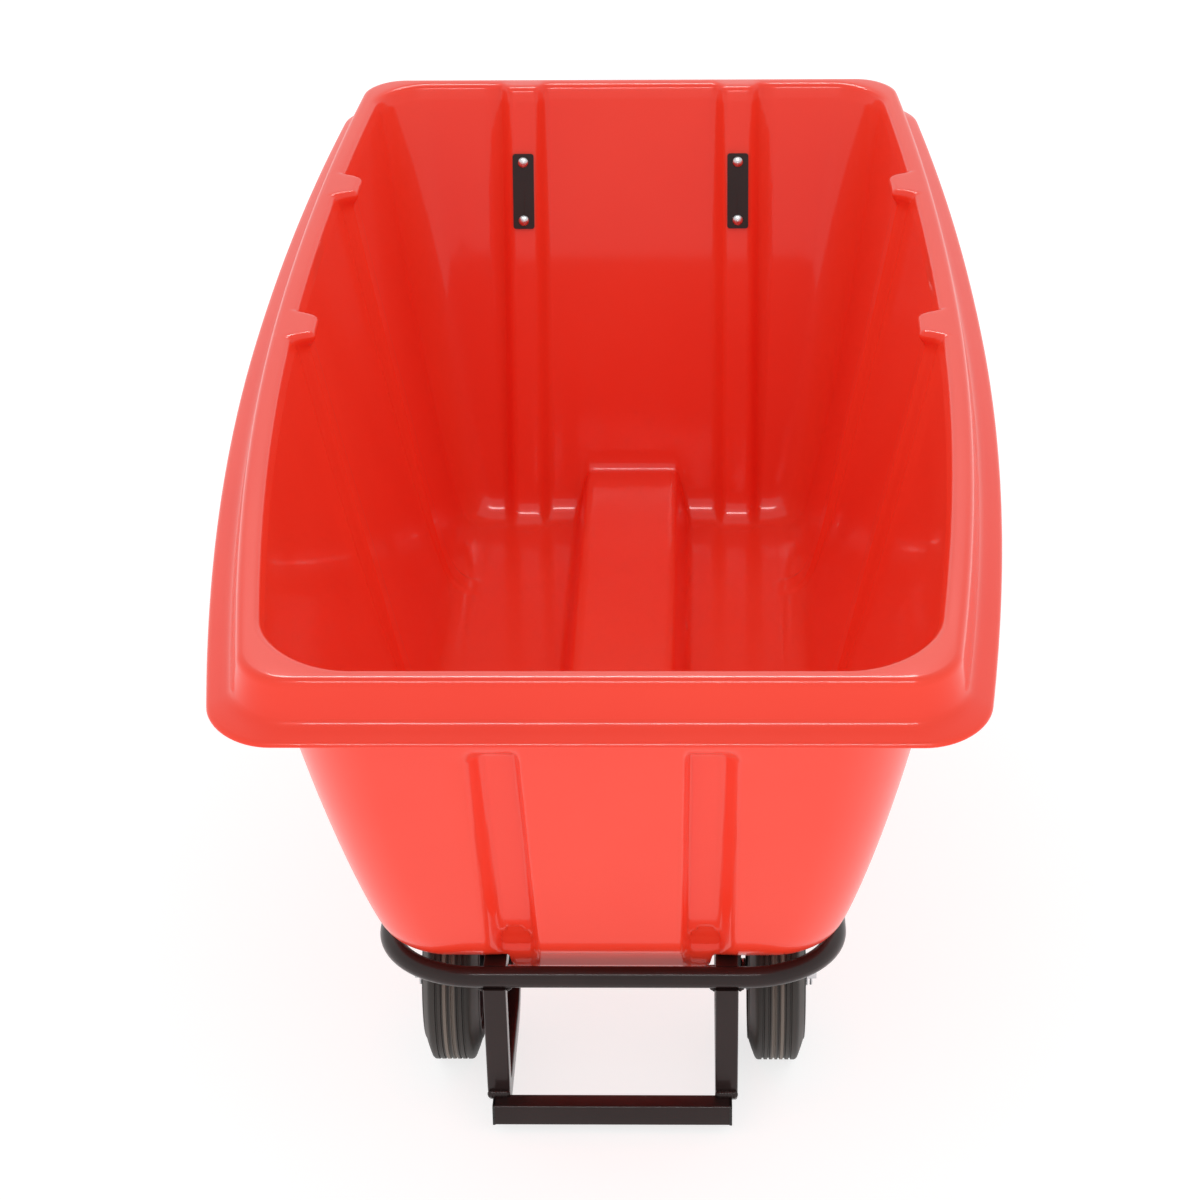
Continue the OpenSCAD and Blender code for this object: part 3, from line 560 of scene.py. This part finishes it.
def leg_line():
    """The middle line of a leg, as (y, z) points from the front loop to the stringer."""
    toe_start = (run_start - toe_radius * math.cos(lean),
                 run_height + toe_radius - toe_radius * math.sin(lean))
    top = (toe_start[0] - arm_length * math.sin(lean), toe_start[1] + arm_length * math.cos(lean))
    points = [(blend(top[0], toe_start[0], share), blend(top[1], toe_start[1], share))
              for share in np.linspace(0, 0.96, 8)]
    points += bend((run_start, run_height + toe_radius), toe_radius,
                   math.pi + lean, 1.5 * math.pi, 18)
    points += [(blend(run_start, run_end, share), run_height) for share in (0.1, 0.5, 0.9)]
    points += bend((run_end, run_height + heel_radius), heel_radius,
                   1.5 * math.pi, 1.5 * math.pi + rise, 20)
    end = points[-1]
    return points + [(end[0] + length * math.cos(rise), end[1] + length * math.sin(rise))
                     for length in (4, 40, 90, 140, 154)]


for hand, x in (("left", -string_x), ("right", string_x)):
    leg = sweep("bent_leg_" + hand, [(x, y, z) for y, z in leg_line()], box_section())
    leg.data.materials.append(dark_paint)
    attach(leg, "chassis")
    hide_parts("leg_" + hand)

lay_square_tube("nose_bar_tube", (-nose_bar_half, nose_bar_y, run_height),
                (nose_bar_half, nose_bar_y, run_height), "nose_bar", (0, 1, 0))

# ---- Plastic end plugs ------------------------------------------------------------------------
# Small caps moulded of black plastic. They are pushed into the open ends of the nose bar and of
# the two side rails.
black_plastic = new_finish("black moulded plastic", 0.5)[0]
tint(black_plastic, cloudy(black_plastic, 90, 2), (0.012, 0.012, 0.012), (0.022, 0.021, 0.02))
for name in ("rail_plugs", "nose_bar_plugs"):
    finish_node(name, black_plastic, 0.001)

# ---- Weld beads -------------------------------------------------------------------------------
# Hand-laid beads in the corners where the legs meet the nose bar and the loop, painted over with
# the frame. Each bead is a row of small overlapping puddles.
def lay_bead(start, end, size):
    """The points and faces of a bead whose thickness swells at each puddle."""
    start, end = np.array(start, float), np.array(end, float)
    length = np.linalg.norm(end - start)
    steps = max(12, int(length / 0.8))
    puddle = 3.4
    shares = np.linspace(0, 1, steps + 1)
    path = start + shares[:, None] * (end - start)
    direction = (end - start) / length
    across_axis = np.cross(direction, (0.3, 0.5, 0.81))
    across_axis /= np.linalg.norm(across_axis)
    other = np.cross(direction, across_axis)
    swell = size * (1 + 0.14 * np.abs(np.sin(shares * length * math.pi / puddle)))
    swell *= np.sqrt(np.clip(1 - (2 * shares - 1) ** 6, 0.05, 1))
    around = np.radians(np.arange(0, 360, 30))
    points = (path[:, None] + swell[:, None, None] * (np.cos(around)[None, :, None] * across_axis
              + np.sin(around)[None, :, None] * other))
    sides = len(around)
    faces = [(k * sides + i, k * sides + (i + 1) % sides,
              (k + 1) * sides + (i + 1) % sides, (k + 1) * sides + i)
             for k in range(steps) for i in range(sides)]
    faces.append(tuple(range(sides))[::-1])
    faces.append(tuple(steps * sides + i for i in range(sides)))
    return points.reshape(-1, 3) * mm, faces


bead_points, bead_faces = [], []
for x in (-string_x, string_x):
    for start, end, size in (((x - 13, -590, 39), (x + 13, -590, 39), 5),
                             ((x - 12.2, -600, 184), (x - 18.5, -600, 188.8), 3),
                             ((x + 12.2, -600, 184), (x + 18.5, -600, 188.8), 3),
                             ((x - 11, -292, 186.5), (x + 11, -292, 186.5), 3)):
        points, faces = lay_bead(start, end, size)
        shift = sum(len(p) for p in bead_points)
        bead_points.append(points)
        bead_faces += [tuple(i + shift for i in face) for face in faces]
welds = make_piece("frame_beads", np.concatenate(bead_points), bead_faces)
welds.data.materials.append(dark_paint)
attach(welds, "chassis")
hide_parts("frame_welds")

# ---- Zinc-plated steel ------------------------------------------------------------------------
# The bought parts: axle, bearings, washers, cotter pins, bolts, nuts and the pressed casters. They
# are turned or pressed from steel, plated with bright zinc and fitted after painting.
dull_low, dull_high = 0.2, 0.34
bright_zinc, plate = new_finish("bright zinc plate", dull_low)
plate["Metallic"].default_value = 1.0
bloom = cloudy(bright_zinc, 60, 3)
tint(bright_zinc, bloom, (0.50, 0.50, 0.52), (0.68, 0.68, 0.69))
dull = bright_zinc.node_tree.nodes.new("ShaderNodeMapRange")
dull.inputs["To Min"].default_value = dull_low
dull.inputs["To Max"].default_value = dull_high
bright_zinc.node_tree.links.new(bloom, dull.inputs["Value"])
bright_zinc.node_tree.links.new(dull.outputs["Result"], plate["Roughness"])
for name in ("axle", "axle_washers", "axle_cotter_pins", "wheel_bearings_left", "wheel_bearings_right",
             "caster_plate_left", "caster_plate_right", "caster_bolts", "caster_nuts",
             "caster_fork_left", "caster_fork_right", "caster_race_left", "caster_race_right",
             "caster_axle_left", "caster_axle_right", "handle_washers", "handle_nuts",
             "tub_bolts", "tub_washers", "tub_nuts"):
    finish_node(name, bright_zinc, 0.0003)

# ---- Tyres ------------------------------------------------------------------------------------
# Dull grey-brown rubber moulded on the wheel core, with a flat ribbed tread, sloping shoulders and
# a small step at the sidewall. Its colour is paler in two bands round the tread near the middle.
tyre_r, tyre_half, tread_in = 101.6, 33, 67.6
wheel_x, axle_y, axle_z = 187, -430, 101.6


def turn_on_lathe(name, profile, centre, steps=120, sharp_angle=35):
    """Turns a closed outline of (along X, radius) points about an axis parallel to X."""
    profile = np.asarray(profile, float)
    angles = np.linspace(0, 2 * math.pi, steps, endpoint=False)
    points = np.stack([np.broadcast_to(centre[0] + profile[None, :, 0], (steps, len(profile))),
                       centre[1] + np.cos(angles)[:, None] * profile[None, :, 1],
                       centre[2] + np.sin(angles)[:, None] * profile[None, :, 1]], -1)
    count = len(profile)
    faces = [(k * count + i, k * count + (i + 1) % count,
              (k + 1) % steps * count + (i + 1) % count, (k + 1) % steps * count + i)
             for k in range(steps) for i in range(count)]
    return make_piece(name, points.reshape(-1, 3) * mm, faces, sharp_angle)


def tread_outline():
    """The closed outline of the rubber: sidewall and shoulder, then the tread with its grooves."""
    right_side = [(tyre_half - 1.5, tread_in), (tyre_half - 0.6, tread_in + 1),
                  (tyre_half, tread_in + 4), (tyre_half, 76.5), (tyre_half - 0.5, 77.6),
                  (tyre_half - 1.6, 78.6), (tyre_half - 1.8, 80), (28.6, 88), (25.6, 96),
                  (24.2, 99.2), (22.4, tyre_r - 0.6), (20.6, tyre_r)]
    groove_depth = 1.8
    for groove in (15.5, 9.0, 2.8):
        right_side += [(groove + 1.4, tyre_r), (groove + 0.9, tyre_r - groove_depth),
                       (groove - 0.9, tyre_r - groove_depth), (groove - 1.4, tyre_r)]
    return right_side + [(-x, r) for x, r in right_side[::-1]]


rubber, tread = new_finish("banded tyre rubber", 0.55)
nodes, links = rubber.node_tree.nodes, rubber.node_tree.links
place = nodes.new("ShaderNodeTexCoord")
apart = nodes.new("ShaderNodeSeparateXYZ")
links.new(place.outputs["Object"], apart.inputs["Vector"])
fold = nodes.new("ShaderNodeMath")
fold.operation = "ABSOLUTE"
links.new(apart.outputs["X"], fold.inputs[0])
from_tub = nodes.new("ShaderNodeMapRange")
from_tub.inputs["From Min"].default_value = (wheel_x - tyre_half) * mm
from_tub.inputs["From Max"].default_value = (wheel_x + tyre_half) * mm
links.new(fold.outputs["Value"], from_tub.inputs["Value"])
bands = nodes.new("ShaderNodeValToRGB")
bands.color_ramp.elements[0].position = 0.0
bands.color_ramp.elements[0].color = (0.030, 0.028, 0.026, 1)
bands.color_ramp.elements[1].position = 1.0
bands.color_ramp.elements[1].color = (0.034, 0.031, 0.029, 1)
# dark rubber, coloured paler in two bands across the tread
for position, shade in ((0.14, 0.036), (0.20, 0.022), (0.34, 0.030), (0.395, 0.024),
                        (0.43, 0.15), (0.475, 0.15), (0.50, 0.022), (0.54, 0.024),
                        (0.565, 0.17), (0.61, 0.17), (0.635, 0.026), (0.8, 0.030),
                        (0.86, 0.02), (0.9, 0.036)):
    stop = bands.color_ramp.elements.new(position)
    stop.color = (shade, shade * 0.80, shade * 0.65, 1)
links.new(from_tub.outputs["Result"], bands.inputs["Fac"])
links.new(bands.outputs["Color"], tread["Base Color"])
roughen(rubber, cloudy(rubber, 120, 2), 0.2, 0.0005)
for hand, x in (("left", -wheel_x), ("right", wheel_x)):
    tyre = turn_on_lathe("ribbed_tyre_" + hand, tread_outline(), (x, axle_y, axle_z))
    tyre.data.materials.append(rubber)
    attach(tyre, "wheel_" + hand)
    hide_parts("tyre_" + hand)

# ---- Wheel cores ------------------------------------------------------------------------------
# Moulded grey plastic, one piece from hub to rim, for the fixed wheels and the casters. The tyre
# or tread is moulded round it, and the bearings are pressed into its hub.
grey_plastic = new_finish("grey moulded plastic", 0.45)[0]
tint(grey_plastic, cloudy(grey_plastic, 30, 2), (0.045, 0.045, 0.048), (0.065, 0.065, 0.068))
for name in ("wheel_core_left", "wheel_core_right", "caster_core_left", "caster_core_right"):
    finish_node(name, grey_plastic)

# ---- Caster treads ----------------------------------------------------------------------------
# Smooth bands of black rubber. They are moulded on the caster wheels and stay plain, without
# ribs or grooves.
black_rubber = new_finish("smooth black rubber", 0.6)[0]
tint(black_rubber, cloudy(black_rubber, 40, 2), (0.018, 0.018, 0.018), (0.035, 0.034, 0.032))
for name in ("caster_tread_left", "caster_tread_right"):
    finish_node(name, black_rubber)

# ---- Push handle ------------------------------------------------------------------------------
# One tube bent to a flat U and welded to two foot plates, which lie in the grooves at the back of
# the end wall. A black vinyl grip with shallow rings is pushed over its cross piece.
finish_node("handle_tube", dark_paint)
grip_half, grip_r, grip_bore = 90, 15.5, 12.5
grip_middle = (0, 874.5, 692)
ring_spacing = 12
grip_outline = [(-grip_half, grip_bore), (-grip_half, grip_r - 1.2), (-grip_half + 1.2, grip_r)]
for ring_at in np.arange(ring_spacing - grip_half, grip_half, ring_spacing):
    grip_outline += [(ring_at - 2, grip_r), (ring_at - 1, grip_r - 0.9),
                     (ring_at + 1, grip_r - 0.9), (ring_at + 2, grip_r)]
grip_outline += [(grip_half - 1.2, grip_r), (grip_half, grip_r - 1.2), (grip_half, grip_bore)]
grip = turn_on_lathe("vinyl_grip", grip_outline[::-1], grip_middle, 48)
grip.data.materials.append(black_plastic)
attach(grip, "chassis")
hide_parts("handle_grip")

# ---- Strap plates and carriage bolts ----------------------------------------------------------
# Two painted strap plates inside the end wall spread the load of the handle. Each is held by two
# carriage bolts with bright domed heads.
finish_node("backing_plate_left", dark_paint, 0.0008)
finish_node("backing_plate_right", dark_paint, 0.0008)
finish_node("handle_bolts", bright_zinc)
